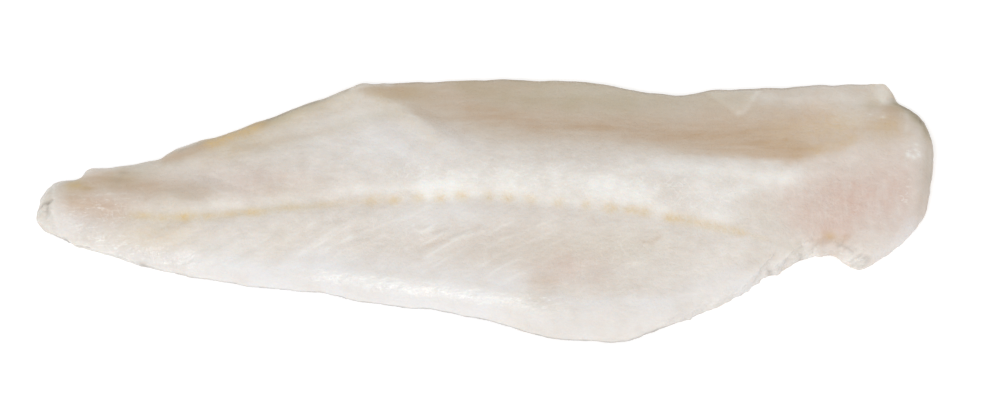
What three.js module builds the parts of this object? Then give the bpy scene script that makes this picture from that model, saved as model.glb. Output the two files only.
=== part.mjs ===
// A raw, skinless hake fillet lying flat, as it is cut from one side of the fish.
// The tail points to -X, the head end to +X, the belly edge to -Y and the back edge to +Y.
// It is one solid: a relief-covered upper face, a rounded edge all round, and a flat underside at Z 0.
import * as THREE from "three";
import { mergeGeometries, mergeVertices } from "three/addons/utils/BufferGeometryUtils.js";

const { clamp, lerp, smoothstep } = THREE.MathUtils;

// Driving dimensions, in millimetres
const LENGTH = 300;
const WIDTH = 101;
const THICKNESS = 20;

// The outline in plan. Each station is a share of LENGTH from the tail and of WIDTH from the long axis.
const BACK_EDGE = [
  [0.018, 0.096], [0.05, 0.106], [0.063, 0.134], [0.094, 0.15], [0.136, 0.168], [0.152, 0.205],
  [0.208, 0.267], [0.261, 0.326], [0.317, 0.4], [0.345, 0.436], [0.367, 0.459], [0.439, 0.484],
  [0.54, 0.486], [0.612, 0.48], [0.642, 0.459], [0.718, 0.425], [0.757, 0.44], [0.818, 0.454],
  [0.885, 0.467], [0.925, 0.484], [0.958, 0.487],
];
const BELLY_EDGE = [
  [0.033, -0.111], [0.07, -0.162], [0.133, -0.236], [0.183, -0.268], [0.25, -0.311], [0.317, -0.327],
  [0.372, -0.371], [0.439, -0.391], [0.495, -0.432], [0.528, -0.456], [0.567, -0.496], [0.629, -0.517],
  [0.662, -0.505], [0.695, -0.462], [0.74, -0.415], [0.765, -0.366], [0.782, -0.34], [0.803, -0.28],
  [0.851, -0.218], [0.883, -0.19], [0.9, -0.228], [0.917, -0.247],
];

// The two end cuts bulge past the straight line between their corners, the tail's most on its belly side.
const TAIL_BULGE = 7.7;
const TAIL_SKEW = 0.55;
const HEAD_BULGE = 20.5;
const TAIL_SQUARENESS = 3.2;
const HEAD_SQUARENESS = { belly: 3.2, back: 2.3 };
const END_CUT_REACH = 3;
const HEAD_NICK = { across: 0.88, halfWidth: 0.06, depth: 3.5 };

// The line where the backbone lay, in the same shares as the outline.
const BONE_LINE = [
  [0, -0.06], [0.094, -0.073], [0.139, -0.087], [0.2, -0.083], [0.295, -0.057], [0.339, -0.05],
  [0.428, -0.052], [0.503, -0.047], [0.551, -0.073], [0.615, -0.093], [0.67, -0.128], [0.735, -0.155],
  [0.802, -0.19], [1, -0.28],
];
const BONE_GROOVE = { depth: 1, halfWidth: 3, from: 0.07, fadeIn: 0.04, to: 0.83, fadeOut: 0.1 };

// Height of the flesh: a share of THICKNESS along the length, times one across from belly (0) to back (1).
const THICKNESS_ALONG = [
  [0, 0.42], [0.1, 0.5], [0.25, 0.68], [0.45, 0.88], [0.62, 1], [0.78, 1], [0.9, 0.88], [1, 0.68],
];
const PLAIN_SECTION = [[0, 0.44], [0.12, 0.56], [0.3, 0.78], [0.52, 1], [0.75, 0.93], [1, 0.66]];
const FACET_SECTION = [[0, 0.44], [0.12, 0.56], [0.3, 0.78], [0.5, 1], [0.6, 0.96], [0.8, 0.66], [1, 0.36]];

// The knife's facet along the back starts at a slanting crease and dies out before the head end.
const FACET = {
  startX: -47, startY: 45, slant: 1.1, startFade: 14, endX: 113, endY: 15, endSlant: 0.6, endFade: 16,
};

// Shallow hollows: where the gut lay, above the bone line near the tail, and the thin corner at the head.
const HOLLOWS = [
  { x: 30, y: -28, along: 30, across: 9, depth: 1.5 },
  { x: -112, y: 6, along: 22, across: 6, depth: 1 },
  { x: 140, y: 42, along: 17, across: 14, depth: 6 },
];

// The tail's very end is a thinner lip below a small step.
const TAIL_LIP = { width: 6.5, fade: 2, drop: 2 };

// Flakes of muscle sweep back from the bone line in chevrons that point at the head.
const FLAKE = {
  pitch: 16, step: 0.22, sharpness: 0.15, bellySweep: 2.3, backSweep: 1.8, turn: 75,
  from: 0.16, fadeIn: 0.1, to: 0.86, fadeOut: 0.08, rimClear: 2, rimFade: 9,
};

// Rounding of the edges, and how far the underside is drawn in
const ROUND_BELLY = 9;
const ROUND_BACK = 5;
const ROUND_TAIL = 4;
const ROUND_HEAD = 11;
const RIM_SHARE = 0.3;
const UNDERCUT = 2.6;
const BASE_BORDER = 4;
const UNDERCUT_WAIST = { insetShare: 0.25, heightShare: 0.4 };

// The ragged knife cut: waves of these lengths and heights along the rim, dying out at the corners
const RAGGED = [{ length: 37, height: 0.28 }, { length: 17.3, height: 0.2 }, { length: 9.1, height: 0.16 }];
const RAGGED_PHASE = { belly: 1.7, back: 0.4 };
const RAGGED_CORNER = 0.04;
const FLAP_RAGGED = { from: 0.7, to: 0.92, gain: 7 };

// Mesh divisions along, across and down the edge, with rows drawn together towards the rims
const ALONG = 112;
const ACROSS = 42;
const CROWD_ALONG = 0.3;
const CROWD_ACROSS = 0.3;
const MERGE_DISTANCE = 0.001;

// A smooth curve through [position, value] stations, level past both ends.
function through(stations, position) {
  const last = stations.length - 1;
  if (position <= stations[0][0]) return stations[0][1];
  if (position >= stations[last][0]) return stations[last][1];
  let i = 0;
  while (stations[i + 1][0] < position) i += 1;
  const slopeAt = (k) => {
    const before = stations[Math.max(k - 1, 0)];
    const after = stations[Math.min(k + 1, last)];
    return (after[1] - before[1]) / (after[0] - before[0]);
  };
  const [x0, y0] = stations[i];
  const [x1, y1] = stations[i + 1];
  const span = x1 - x0;
  const t = (position - x0) / span;
  const rise = y1 - y0;
  const bend0 = slopeAt(i) * span - rise;
  const bend1 = rise - slopeAt(i + 1) * span;
  return y0 + rise * t + t * (1 - t) * (bend0 * (1 - t) + bend1 * t);
}

const bell = (distance) => Math.exp(-distance * distance);
const shareOfLength = (x) => x / LENGTH + 0.5;
const boneY = (x) => through(BONE_LINE, shareOfLength(x)) * WIDTH;

// 1 between two places, fading to 0 over a stretch before the first and one before the second.
const between = (t, { from, fadeIn, to, fadeOut }) =>
  smoothstep(t, from - fadeIn, from) * (1 - smoothstep(t, to - fadeOut, to));

// Sideways wander of the knife along one long edge; the flap at the head end of the belly is the roughest.
function ragged(share, isBelly) {
  const phase = isBelly ? RAGGED_PHASE.belly : RAGGED_PHASE.back;
  const flap = smoothstep(share, FLAP_RAGGED.from, FLAP_RAGGED.to);
  const gain = isBelly ? 1 + FLAP_RAGGED.gain * flap * (1 - flap) : 1;
  const turns = share * LENGTH * 2 * Math.PI;
  const wave = (w, i) => w.height * Math.sin(turns / w.length + phase * (i + 1));
  return gain * RAGGED.reduce((sum, w, i) => sum + wave(w, i), 0);
}

// A point on one long edge, u from 0 at the tail corner to 1 at the head corner.
function edgePoint(stations, u, isBelly) {
  const share = lerp(stations[0][0], stations[stations.length - 1][0], u);
  const corner = smoothstep(Math.min(u, 1 - u), 0, RAGGED_CORNER);
  const y = through(stations, share) * WIDTH + corner * ragged(share, isBelly);
  return new THREE.Vector2((share - 0.5) * LENGTH, y);
}

// How far an end cut stands out at v, as a share of its bulge.
const roundness = (v, squareness) => 1 - Math.abs(2 * v - 1) ** squareness;
const headRoundness = (v) => roundness(v, v < 0.5 ? HEAD_SQUARENESS.belly : HEAD_SQUARENESS.back);

// Plan position inside the outline: u from tail to head, v from belly to back.
function planPoint(u, v) {
  const point = edgePoint(BELLY_EDGE, u, true).lerp(edgePoint(BACK_EDGE, u, false), v);
  const nick = HEAD_NICK.depth * bell((v - HEAD_NICK.across) / HEAD_NICK.halfWidth);
  point.x += (HEAD_BULGE * headRoundness(v) - nick) * u ** END_CUT_REACH;
  point.x -= TAIL_BULGE * roundness(v ** TAIL_SKEW, TAIL_SQUARENESS) * (1 - u) ** END_CUT_REACH;
  return point;
}

const localWidth = (u) => edgePoint(BACK_EDGE, u, false).y - edgePoint(BELLY_EDGE, u, true).y;

// How much of the facet shows at a plan point, 0 to 1.
function facetShare(x, y) {
  const creaseX = FACET.startX + (FACET.startY - y) * FACET.slant;
  const endX = FACET.endX + (y - FACET.endY) * FACET.endSlant;
  return smoothstep(x, creaseX, creaseX + FACET.startFade) * (1 - smoothstep(x, endX, endX + FACET.endFade));
}

// Shingle steps of the flakes, fading towards the rims, both ends and the facet.
function flakeRelief(x, y, u, v) {
  const offBone = y - boneY(x);
  const sweep = offBone < 0 ? FLAKE.bellySweep : FLAKE.backSweep;
  const away = Math.min(Math.abs(offBone), FLAKE.turn);
  const phase = (2 * Math.PI * (x + sweep * away * (1 - away / (2 * FLAKE.turn)))) / FLAKE.pitch;
  const rim = smoothstep(Math.min(v, 1 - v) * localWidth(u), FLAKE.rimClear, FLAKE.rimFade);
  const shown = between(u, FLAKE) * rim * (1 - facetShare(x, y));
  return FLAKE.step * shown * (Math.sin(phase) + FLAKE.sharpness * Math.sin(2 * phase));
}

// Height of the flesh before its edges are rounded.
function bodyHeight(u, v) {
  const { x, y } = planPoint(u, v);
  const section = lerp(through(PLAIN_SECTION, v), through(FACET_SECTION, v), facetShare(x, y));
  const share = shareOfLength(x);
  let height = THICKNESS * through(THICKNESS_ALONG, clamp(share, 0, 1)) * section;
  for (const h of HOLLOWS) height -= h.depth * bell(Math.hypot((x - h.x) / h.along, (y - h.y) / h.across));
  height -= BONE_GROOVE.depth * between(share, BONE_GROOVE) * bell((y - boneY(x)) / BONE_GROOVE.halfWidth);
  height -= TAIL_LIP.drop * (1 - smoothstep(u * LENGTH, TAIL_LIP.width - TAIL_LIP.fade, TAIL_LIP.width));
  return height + flakeRelief(x, y, u, v);
}

// Quarter-round rise from 0 at the rim to 1 at a radius inside it.
function quarterRound(distance, radius) {
  const inside = 1 - clamp(distance / radius, 0, 1);
  return Math.sqrt(1 - inside * inside);
}

const rimHeight = (u, v) => RIM_SHARE * bodyHeight(u, v);

// A point of the upper face.
function topPoint(u, v) {
  const width = localWidth(u);
  const edges = quarterRound(v * width, ROUND_BELLY) * quarterRound((1 - v) * width, ROUND_BACK);
  const ends = quarterRound(u * LENGTH, ROUND_TAIL) * quarterRound((1 - u) * LENGTH, ROUND_HEAD);
  const { x, y } = planPoint(u, v);
  const rim = rimHeight(u, v);
  return new THREE.Vector3(x, y, lerp(rim, bodyHeight(u, v), edges * ends));
}

// Rows of the edge below the rim: how far each is drawn in, and its share of the rim's height.
const EDGE_ROWS = [
  { inset: UNDERCUT + BASE_BORDER, heightShare: 0 },
  { inset: UNDERCUT, heightShare: 0 },
  { inset: UNDERCUT * UNDERCUT_WAIST.insetShare, heightShare: UNDERCUT_WAIST.heightShare },
  { inset: 0, heightShare: 1 },
];

// A rim point carried down to one of those rows.
function edgeRowPoint(u, v, row) {
  const du = row.inset / LENGTH;
  const dv = row.inset / localWidth(u);
  const { x, y } = planPoint(lerp(du, 1 - du, u), lerp(dv, 1 - dv, v));
  return new THREE.Vector3(x, y, row.heightShare * rimHeight(u, v));
}

// Even steps drawn together towards both ends.
const crowd = (t, amount) => t - (amount * Math.sin(2 * Math.PI * t)) / (2 * Math.PI);
const alongStep = (i) => crowd(i / ALONG, CROWD_ALONG);
const acrossStep = (j) => crowd(j / ACROSS, CROWD_ACROSS);

// The rim's divisions in order, counter-clockwise from above, starting at the tail's belly corner.
const RIM_COUNT = 2 * (ALONG + ACROSS);
function rimPlace(index) {
  const i = index % RIM_COUNT;
  if (i < ALONG) return [alongStep(i), 0];
  if (i < ALONG + ACROSS) return [1, acrossStep(i - ALONG)];
  if (i < 2 * ALONG + ACROSS) return [alongStep(2 * ALONG + ACROSS - i), 1];
  return [0, acrossStep(RIM_COUNT - i)];
}

// Moves each vertex of a plane to where its column and row belong.
function shapePlane(columns, rows, place) {
  const geometry = new THREE.PlaneGeometry(1, 1, columns, rows);
  const { position, uv } = geometry.attributes;
  for (let i = 0; i < position.count; i += 1) {
    const point = place(Math.round(uv.getX(i) * columns), Math.round(uv.getY(i) * rows));
    position.setXYZ(i, point.x, point.y, point.z);
  }
  return geometry;
}

const upperFace = () => shapePlane(ALONG, ACROSS, (i, j) => topPoint(alongStep(i), acrossStep(j)));

const roundedEdge = () =>
  shapePlane(RIM_COUNT, EDGE_ROWS.length - 1, (i, j) => edgeRowPoint(...rimPlace(i), EDGE_ROWS[j]));

// The flat underside inside the rounded edge, facing down.
function underside() {
  const outline = Array.from({ length: RIM_COUNT }, (_, i) => edgeRowPoint(...rimPlace(i), EDGE_ROWS[0]));
  const faces = THREE.ShapeUtils.triangulateShape(outline.map((p) => new THREE.Vector2(p.x, p.y)), []);
  const geometry = new THREE.BufferGeometry().setFromPoints(outline);
  geometry.setIndex(faces.flatMap(([a, b, c]) => [a, c, b]));
  return geometry;
}

// One closed skin with its shared vertices merged, centred over the origin and standing on Z 0.
function filletGeometry() {
  const faces = [upperFace(), roundedEdge(), underside()];
  for (const face of faces) {
    face.deleteAttribute("normal");
    face.deleteAttribute("uv");
  }
  const geometry = mergeVertices(mergeGeometries(faces), MERGE_DISTANCE);
  geometry.computeBoundingBox();
  const { min, max } = geometry.boundingBox;
  geometry.translate(-(min.x + max.x) / 2, -(min.y + max.y) / 2, -min.z);
  geometry.computeVertexNormals();
  return geometry;
}

const flesh = new THREE.MeshStandardMaterial({ color: "#e3dad1", roughness: 0.35, metalness: 0 });
const fillet = new THREE.Mesh(filletGeometry(), flesh);
fillet.name = "fillet";

const part = new THREE.Group();
part.add(fillet);

export default part;
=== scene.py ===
"""A raw, skinless hake fillet on a white studio floor.

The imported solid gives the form. A copy of its skin is refined until single flakes can be modelled on it,
and painted with soft tones, which the wet flesh material turns into colour, gloss and fine relief.
"""

import logging
import math
from collections.abc import Mapping, Sequence
from dataclasses import dataclass, field
from enum import Enum
from typing import Any

import bmesh
import bpy
import numpy as np
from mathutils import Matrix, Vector, kdtree, noise

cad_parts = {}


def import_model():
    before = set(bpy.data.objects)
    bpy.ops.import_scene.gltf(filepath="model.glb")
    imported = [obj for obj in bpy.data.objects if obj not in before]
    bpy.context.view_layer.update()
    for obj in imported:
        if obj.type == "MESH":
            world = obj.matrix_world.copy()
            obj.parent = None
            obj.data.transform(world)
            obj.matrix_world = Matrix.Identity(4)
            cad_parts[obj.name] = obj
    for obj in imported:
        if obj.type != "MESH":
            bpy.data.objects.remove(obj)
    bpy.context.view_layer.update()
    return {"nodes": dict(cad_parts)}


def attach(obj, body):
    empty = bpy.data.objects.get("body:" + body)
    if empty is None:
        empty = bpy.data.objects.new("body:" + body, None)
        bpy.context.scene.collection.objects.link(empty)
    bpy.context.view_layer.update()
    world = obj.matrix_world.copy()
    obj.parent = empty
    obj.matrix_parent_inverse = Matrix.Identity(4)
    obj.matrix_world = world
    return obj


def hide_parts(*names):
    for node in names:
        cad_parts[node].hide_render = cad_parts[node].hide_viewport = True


MM = 0.001
FLAKE_MAP = "flake_map"
Route = tuple[tuple[float, float], ...]
Size = tuple[float, float, float]
log = logging.getLogger("hake_fillet")


def linear(hex_colour: str) -> tuple[float, float, float, float]:
    """Turns an sRGB hex value into a linear colour.

    Args:
        hex_colour: Six hex digits after a hash sign.

    Returns:
        Red, green and blue in linear light, and an alpha of 1.
    """
    shares = [int(hex_colour[i : i + 2], 16) / 255 for i in (1, 3, 5)]
    red, green, blue = (s / 12.92 if s <= 0.04045 else ((s + 0.055) / 1.055) ** 2.4 for s in shares)
    return red, green, blue, 1.0


def rise(values: np.ndarray, low: float | np.ndarray, high: float | np.ndarray) -> np.ndarray:
    """Climbs smoothly from 0 at one value to 1 at another.

    Args:
        values: Where to read the curve.
        low: Value at which the climb starts; above high for a fall.
        high: Value at which it ends.

    Returns:
        Shares from 0 to 1.
    """
    t = np.clip((values - low) / (high - low), 0.0, 1.0)
    return t * t * (3.0 - 2.0 * t)


def bell(distance: np.ndarray) -> np.ndarray:
    """Falls from 1 at no distance towards 0 at two."""
    return np.exp(-distance * distance)


def clouds(points: np.ndarray, lump: Size, octaves: int = 3) -> np.ndarray:
    """Smooth fractal noise with lumps of a given size.

    Args:
        points: Places to read it at, one row each, in millimetres.
        lump: Size of a lump along each axis, in millimetres.
        octaves: How many finer layers are added, each half as large.

    Returns:
        Values of about -1 to 1.
    """
    scaled = points / np.array(lump)
    return np.array([noise.fractal(Vector(p), 1.0, 2.0, octaves) for p in scaled])


def distance_to_route(x: np.ndarray, y: np.ndarray, route: Route) -> np.ndarray:
    """Measures how far places lie from a line of straight stretches.

    Args:
        x: Places along the fillet.
        y: Places across it.
        route: The line's corners.

    Returns:
        Distances in the same unit.
    """
    nearest = np.full(x.shape, np.inf)
    for (ax, ay), (bx, by) in zip(route, route[1:]):
        dx, dy = bx - ax, by - ay
        t = np.clip(((x - ax) * dx + (y - ay) * dy) / (dx * dx + dy * dy), 0.0, 1.0)
        nearest = np.minimum(nearest, np.hypot(x - ax - t * dx, y - ay - t * dy))
    return nearest


class Tone(Enum):
    """What the flesh is painted with. Each value names the mesh attribute that holds the tone's share."""

    LILAC = "lilac"  # cool white
    BLUSH = "blush"  # pink
    OLIVE = "olive"  # grey-yellow
    BROWN = "brown"  # muscle that lay under the skin
    MILK = "milk"  # dense white tissue, and painted highlights
    OCHRE = "ochre"  # fat and bone marks
    UMBER = "umber"  # painted shade in partings and splits, and dark spots
    SLATE = "slate"  # painted grey shade
    FLAKES = "flakes"  # how much the sheets between flakes show
    FLECKS = "flecks"  # painted glints, and white specks
    THREADS = "threads"  # white threads
    WET = "wet"  # film of water


@dataclass
class Skin:
    """The vertices of the refined skin: where each lies, in millimetres, and its share of each tone.

    The rim is the distance from the outline in plan. The flake coordinate runs along the fillet and stays
    the same down the length of one chevron. The drift is how far the edges of large marks wander, along
    the fillet and across it.
    """

    points: np.ndarray
    normals: np.ndarray
    rim: np.ndarray
    off_bone: np.ndarray
    flake: np.ndarray
    drift: np.ndarray
    shares: dict[Tone, np.ndarray] = field(init=False)

    def __post_init__(self) -> None:
        """Starts with no tone anywhere."""
        self.shares = {tone: np.zeros(len(self.points)) for tone in Tone}

    @property
    def plan(self) -> np.ndarray:
        """Places along the fillet, from tail to head end, and across it, from belly to back."""
        return self.points[:, :2].T

    @property
    def tilt(self) -> np.ndarray:
        """1 where the skin faces up, 0 on an upright wall and -1 underneath."""
        return self.normals[:, 2]

    @property
    def backward(self) -> np.ndarray:
        """1 where the skin faces the back edge's side, and -1 where it faces the belly's."""
        return self.normals[:, 1]


@dataclass(frozen=True)
class Patch:
    """A soft oval in plan, in millimetres: a patch of tone, or a swelling as high as its strength."""

    x: float
    y: float
    along: float
    across: float
    strength: float
    turn: float = 0.0

    @property
    def reach(self) -> float:
        """The oval's smaller half size."""
        return min(self.along, self.across)

    def share(self, x: np.ndarray, y: np.ndarray) -> np.ndarray:
        """Gives the oval's strength over the skin.

        Args:
            x: Places along the fillet.
            y: Places across it.

        Returns:
            Its strength in the middle, falling to 0 outside.
        """
        cos, sin = math.cos(math.radians(self.turn)), math.sin(math.radians(self.turn))
        dx, dy = x - self.x, y - self.y
        along, across = (dx * cos + dy * sin) / self.along, (dy * cos - dx * sin) / self.across
        return self.strength * bell(np.hypot(along, across))


@dataclass(frozen=True)
class Streak:
    """A soft line through a few points in plan, in millimetres: a streak of tone, or a crease.

    A crease is as high as its strength. The flesh is parted where that is negative.
    """

    width: float
    strength: float
    route: Route

    @property
    def reach(self) -> float:
        """Half the line's width."""
        return self.width

    def share(self, x: np.ndarray, y: np.ndarray) -> np.ndarray:
        """Gives the line's strength over the skin.

        Args:
            x: Places along the fillet.
            y: Places across it.

        Returns:
            Its strength on the line, falling to 0 beside it.
        """
        return self.strength * bell(distance_to_route(x, y, self.route) / self.width)


@dataclass(frozen=True)
class Membrane:
    """A scrap of thin skin left lying on the flesh, as a convex outline in plan, in millimetres."""

    corners: Route
    height: float
    feather: float
    milk: float = 0.18
    olive: float = 0.12

    def cover(self, skin: Skin) -> np.ndarray:
        """Gives where the scrap lies.

        Args:
            skin: The refined skin.

        Returns:
            1 inside the outline, falling to 0 across its edge.
        """
        x, y = skin.plan
        inside = np.full(x.shape, np.inf)
        for (ax, ay), (bx, by) in zip(self.corners, (*self.corners[1:], self.corners[0])):
            length = math.hypot(bx - ax, by - ay)
            inside = np.minimum(inside, ((bx - ax) * (y - ay) - (by - ay) * (x - ax)) / length)
        return rise(inside, -self.feather, self.feather)

    def tint(self, skin: Skin) -> None:
        """Adds the scrap's milky film.

        Args:
            skin: The refined skin, whose shares are changed.
        """
        cover = self.cover(skin)
        skin.shares[Tone.MILK] += self.milk * cover
        skin.shares[Tone.OLIVE] += self.olive * cover


class NodeGraph:
    """A material's node tree."""

    def __init__(self, material: bpy.types.Material) -> None:
        """Clears a material's tree.

        Args:
            material: The material to fill.
        """
        material.use_nodes = True
        self.tree = material.node_tree
        self.tree.nodes.clear()

    def add(
        self,
        kind: str,
        settings: Mapping[str, Any],
        links: Mapping[str, bpy.types.NodeSocket],
        give: str = "",
    ) -> bpy.types.NodeSocket | None:
        """Adds one node.

        Args:
            kind: Blender's name for the node.
            settings: Properties by name, and values of inputs by identifier.
            links: Outputs to link, by the identifier of the input that takes each.
            give: Identifier of the output to hand back.

        Returns:
            That output, or None for a node that ends the tree.
        """
        node = self.tree.nodes.new(kind)
        inputs = {s.identifier: s for s in node.inputs}
        for name, value in settings.items():
            if name in inputs:
                inputs[name].default_value = value
            else:
                setattr(node, name, value)
        for name, socket in links.items():
            self.tree.links.new(socket, inputs[name])
        return {s.identifier: s for s in node.outputs}.get(give)


@dataclass(frozen=True)
class WetFlesh:
    """Raw hake flesh, skinned and rinsed: dense white muscle under a film of water.

    Light sinks a few millimetres in, so shadows are soft and thin rims glow. Milky sheets of tissue part the
    flakes, a fine grain runs along them, and the film of water gives small sharp glints where the surface
    turns to the lamp.
    """

    name: str = "raw_hake_flesh"
    deep: str = "#d6cec5"
    pale: str = "#e2dcd5"
    tints: Mapping[Tone, str] = field(
        default_factory=lambda: {
            Tone.LILAC: "#e2e0df",
            Tone.BLUSH: "#cdae9f",
            Tone.OLIVE: "#b5aa8c",
            Tone.BROWN: "#b8946c",
            Tone.MILK: "#f2f1ed",
            Tone.OCHRE: "#d9ba78",
            Tone.UMBER: "#6a5840",
            Tone.SLATE: "#75726f",
        }
    )
    # Flakes are about 8 mm thick, and the flesh clouds over from one to the next.
    flake_pitch: float = 8.0
    mottle: float = 12.0
    # Muscle fibres are about 0.1 mm thick. Bundles of them are drawn, because one is too fine to show.
    fibre: tuple[float, float] = (3.2, 2.4)
    grain: float = 3.0
    combing: tuple[float, float] = (10.0, 1.6)
    streak: tuple[float, float] = (14.0, 2.8)
    stripe: tuple[float, float] = (3.4, 9.0)
    # Threads of tissue wander round lumps of about 5 mm. Painted glints, specks and the water's ripples are
    # about 1 mm.
    thread: float = 5.0
    glint: tuple[float, float] = (2.6, 0.9)
    film: float = 1.2
    film_depth: float = 0.4
    # How deep light sinks in, and the roughness of drained flesh and of flesh under water.
    scatter: float = 2.0
    drained: float = 0.5
    covered: float = 0.26

    def material(self) -> bpy.types.Material:
        """Makes the flesh material.

        Returns:
            The material, which reads the tones and the flake map of the mesh.
        """
        material = bpy.data.materials.new(self.name)
        graph = NodeGraph(material)
        place = graph.add("ShaderNodeTexCoord", {}, {}, "Object")
        flake_map = graph.add("ShaderNodeUVMap", {"uv_map": FLAKE_MAP}, {}, "UV")
        tones = {t: graph.add("ShaderNodeAttribute", {"attribute_name": t.value}, {}, "Fac") for t in Tone}
        mottle, grain, film = (
            graph.add(
                "ShaderNodeTexNoise",
                {"Scale": 1 / (lump * MM), "Detail": 2.0, "Roughness": 0.55},
                {"Vector": place},
                "Fac",
            )
            for lump in (self.mottle, self.grain, self.film)
        )
        fibres = self.stretched_noise(graph, flake_map, self.fibre)
        stripes, streaks, combing = (
            self.stretched_noise(graph, place, size) for size in (self.stripe, self.streak, self.combing)
        )
        flecks, pit_shade = self.flecks(graph, place, tones[Tone.FLECKS])
        septa = self.septa(graph, flake_map, mottle, tones[Tone.FLAKES])
        threads = self.threads(graph, place, tones[Tone.THREADS])
        layers = (
            (Tone.LILAC, tones[Tone.LILAC], mottle, 0.35),
            (Tone.BLUSH, tones[Tone.BLUSH], stripes, 0.3),
            (Tone.OLIVE, tones[Tone.OLIVE], mottle, 0.3),
            (Tone.BROWN, tones[Tone.BROWN], streaks, 0.22),
            (Tone.MILK, tones[Tone.MILK], mottle, 0.35),
            (Tone.MILK, septa, fibres, 0.4),
            (Tone.MILK, threads, grain, 0.4),
            (Tone.OCHRE, tones[Tone.OCHRE], film, 0.4),
            (Tone.UMBER, tones[Tone.UMBER], grain, 0.4),
            # painted shade of tiny pits
            (Tone.UMBER, pit_shade, grain, 0.4),
            (Tone.SLATE, tones[Tone.SLATE], grain, 0.4),
            # painted glints and white specks
            (Tone.MILK, flecks, grain, 0.4),
        )
        combed, height = (
            graph.add(
                "ShaderNodeMix",
                {"data_type": "FLOAT", "Factor_Float": share},
                {"A_Float": first, "B_Float": second},
                "Result_Float",
            )
            for share, first, second in ((0.5, grain, combing), (0.7, fibres, film))
        )
        normal = graph.add(
            "ShaderNodeBump",
            {"Strength": 1.0, "Distance": self.film_depth * MM},
            {"Height": height},
            "Normal",
        )
        dryness = graph.add(
            "ShaderNodeMapRange",
            {"To Min": self.drained, "To Max": self.covered},
            {"Value": tones[Tone.WET]},
            "Result",
        )
        shader = graph.add(
            "ShaderNodeBsdfPrincipled",
            {
                "IOR": 1.38,
                "Subsurface Weight": 0.4,
                "Subsurface Radius": (1.0, 0.78, 0.62),
                "Subsurface Scale": self.scatter * MM,
                "Coat Roughness": 0.12,
                "Coat IOR": 1.33,
            },
            {
                "Base Color": self.colour(graph, mottle, combed, layers),
                "Roughness": dryness,
                "Normal": normal,
                "Coat Normal": normal,
                "Coat Weight": tones[Tone.WET],
            },
            "BSDF",
        )
        graph.add("ShaderNodeOutputMaterial", {}, {"Surface": shader})
        return material

    def colour(
        self,
        graph: NodeGraph,
        mottle: bpy.types.NodeSocket,
        grain: bpy.types.NodeSocket,
        layers: Sequence[tuple[Tone, bpy.types.NodeSocket, bpy.types.NodeSocket, float]],
    ) -> bpy.types.NodeSocket:
        """Lays the tones over the plain flesh, each broken up by a grain.

        Args:
            graph: The tree to add to.
            mottle: Cloudy unevenness.
            grain: Finer unevenness.
            layers: Each tone with its share, the grain that breaks it up, and how far that thins it.

        Returns:
            The flesh's colour.
        """
        cloudy = graph.add(
            "ShaderNodeMix",
            {"data_type": "FLOAT", "Factor_Float": 0.5},
            {"A_Float": mottle, "B_Float": grain},
            "Result_Float",
        )
        paleness = graph.add(
            "ShaderNodeMapRange", {"From Min": 0.35, "From Max": 0.65}, {"Value": cloudy}, "Result"
        )
        colour = graph.add(
            "ShaderNodeMix",
            {"data_type": "RGBA", "A_Color": linear(self.deep), "B_Color": linear(self.pale)},
            {"Factor_Float": paleness},
            "Result_Color",
        )
        for tone, share, breaks, sway in layers:
            uneven = graph.add(
                "ShaderNodeMapRange",
                {"From Min": 0.3, "From Max": 0.7, "To Min": 1.0 - sway, "To Max": 1.0 + sway},
                {"Value": breaks},
                "Result",
            )
            amount = graph.add(
                "ShaderNodeMath",
                {"operation": "MULTIPLY", "use_clamp": True},
                {"Value": share, "Value_001": uneven},
                "Value",
            )
            colour = graph.add(
                "ShaderNodeMix",
                {"data_type": "RGBA", "B_Color": linear(self.tints[tone])},
                {"Factor_Float": amount, "A_Color": colour},
                "Result_Color",
            )
        return colour

    def stretched_noise(
        self, graph: NodeGraph, source: bpy.types.NodeSocket, size: tuple[float, float]
    ) -> bpy.types.NodeSocket:
        """Makes noise with lumps that are longer one way.

        Args:
            graph: The tree to add to.
            source: The coordinates to read, in metres.
            size: Size of a lump along the first two coordinates, in millimetres.

        Returns:
            The noise, from 0 to 1.
        """
        along, across = (1 / (s * MM) for s in size)
        stretched = graph.add(
            "ShaderNodeMapping", {"Scale": (along, across, across)}, {"Vector": source}, "Vector"
        )
        return graph.add(
            "ShaderNodeTexNoise",
            {"Scale": 1.0, "Detail": 2.0, "Roughness": 0.6},
            {"Vector": stretched},
            "Fac",
        )

    def flecks(
        self, graph: NodeGraph, place: bpy.types.NodeSocket, shown: bpy.types.NodeSocket
    ) -> list[bpy.types.NodeSocket]:
        """Draws painted glints and white specks, and fainter painted shade of tiny pits between them.

        Args:
            graph: The tree to add to.
            place: Object coordinates.
            shown: How much the glints and specks show.

        Returns:
            The share of the glints and specks in the colour, then that of the painted pit shade.
        """
        glints = self.stretched_noise(graph, place, self.glint)
        pair = []
        for limits in (
            {"From Min": 0.57, "From Max": 0.66},
            {"From Min": 0.43, "From Max": 0.34, "To Max": 0.1},
        ):
            spots = graph.add("ShaderNodeMapRange", limits, {"Value": glints}, "Result")
            links = {"Value": spots, "Value_001": shown}
            pair.append(graph.add("ShaderNodeMath", {"operation": "MULTIPLY"}, links, "Value"))
        return pair

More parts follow.
